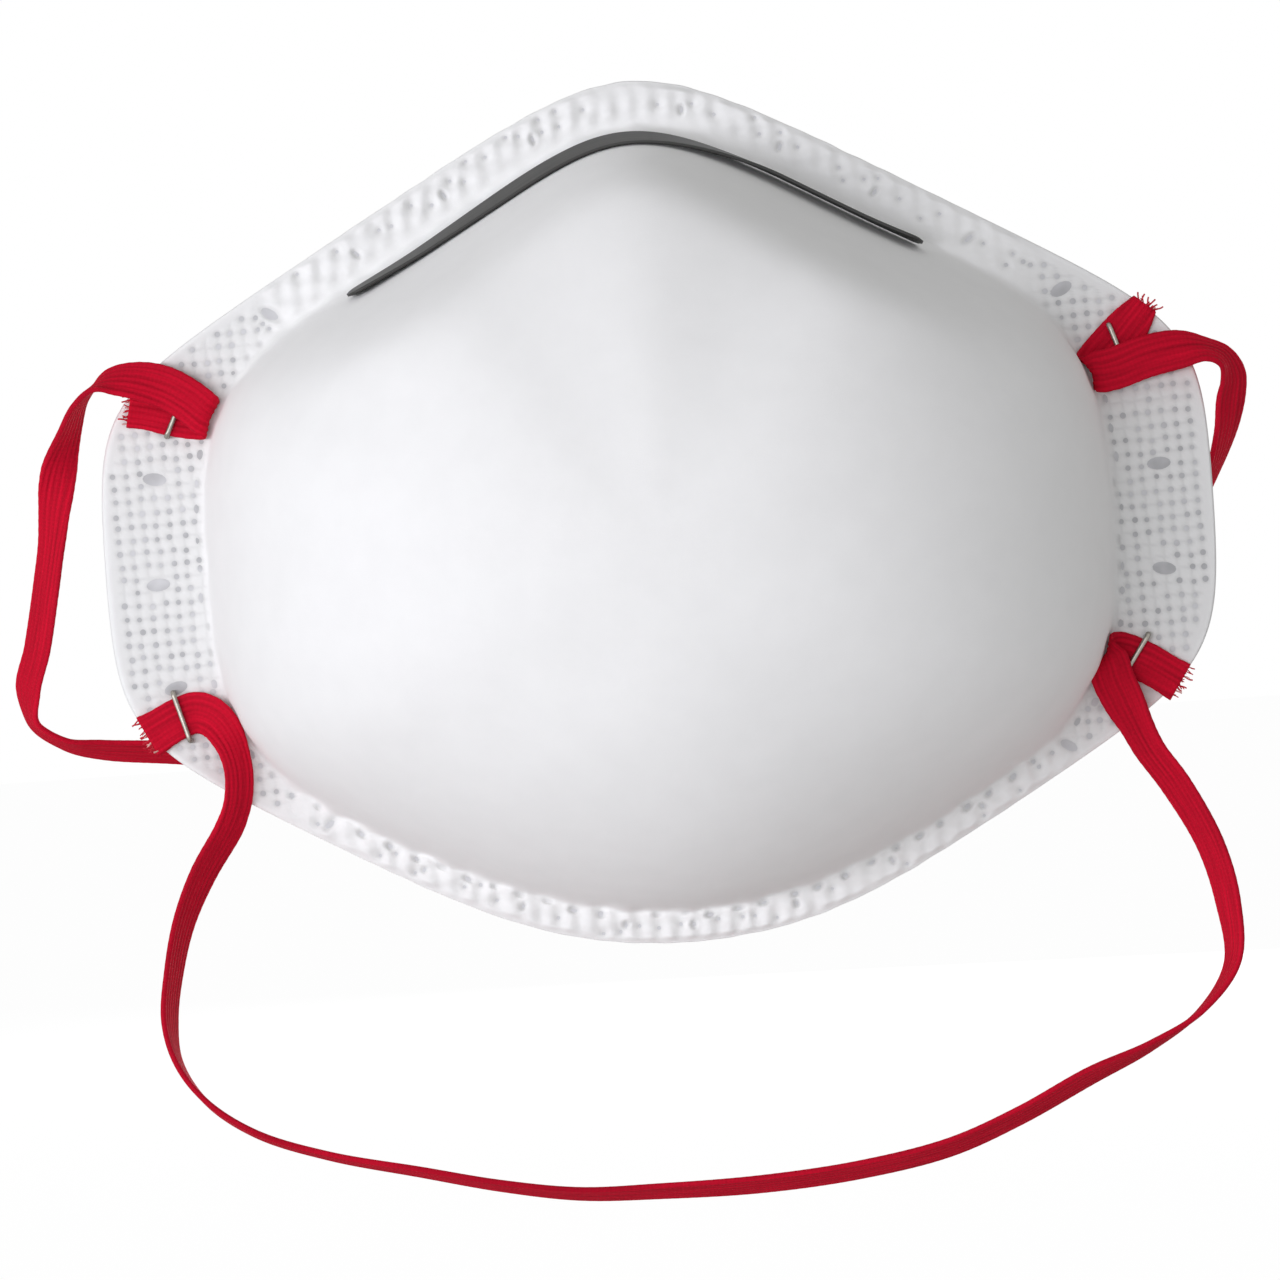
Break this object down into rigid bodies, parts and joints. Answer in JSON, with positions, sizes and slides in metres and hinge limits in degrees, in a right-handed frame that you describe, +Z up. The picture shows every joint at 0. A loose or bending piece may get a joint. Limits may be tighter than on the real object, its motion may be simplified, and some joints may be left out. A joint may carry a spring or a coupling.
{
  "type": "disposable dust mask",
  "caption": "Moulded cup dust mask with a welded flange, bendable nose clip, foam nose seal and stapled elastic head straps, held at its face seal.",
  "frame": {"origin": "middle of the face seal, in the back plane of the flange", "axes": "+Z up as worn, +Y towards the wearer's face, +X to the right of someone who looks at the front of the mask"},
  "size_m": [0.1689, 0.074, 0.1492],
  "materials": {
    "cover_web": "white nonwoven, smooth on the cup and spot-welded on the flange",
    "filter_web": "soft melt-blown web",
    "moulded_felt": "stiff moulded needle felt",
    "lining_web": "smooth spun web",
    "clip_strip": "dark grey plastic-coated soft metal strip",
    "foam": "open-cell foam",
    "elastic": "ribbed woven elastic",
    "staple_wire": "bright drawn wire"
  },
  "bodies": {
    "mask": {"outer_cover": "cover_web", "filter_layer": "filter_web", "support_shell": "moulded_felt", "inner_lining": "lining_web", "nose_clip": "clip_strip", "nose_foam": "foam", "upper_strap_left_end": "elastic", "upper_strap_right_end": "elastic", "lower_strap_left_end": "elastic", "lower_strap_right_end": "elastic", "upper_left_staple": "staple_wire", "upper_right_staple": "staple_wire", "lower_left_staple": "staple_wire", "lower_right_staple": "staple_wire"},
    "upper_strap": {"upper_strap_loop": "elastic"},
    "lower_strap": {"lower_strap_loop": "elastic"}
  },
  "joints": [
    {"name": "upper_strap_swing", "type": "hinge", "parent": "mask", "child": "upper_strap", "pos_m": [-0.0011, 0.001, 0.0104], "axis": [1, 0, 0], "range_deg": [0, 95]},
    {"name": "lower_strap_swing", "type": "hinge", "parent": "mask", "child": "lower_strap", "pos_m": [0.0017, -0.0026, -0.035], "axis": [0.9999, 0, 0.0165], "range_deg": [-90, 95]}
  ]
}
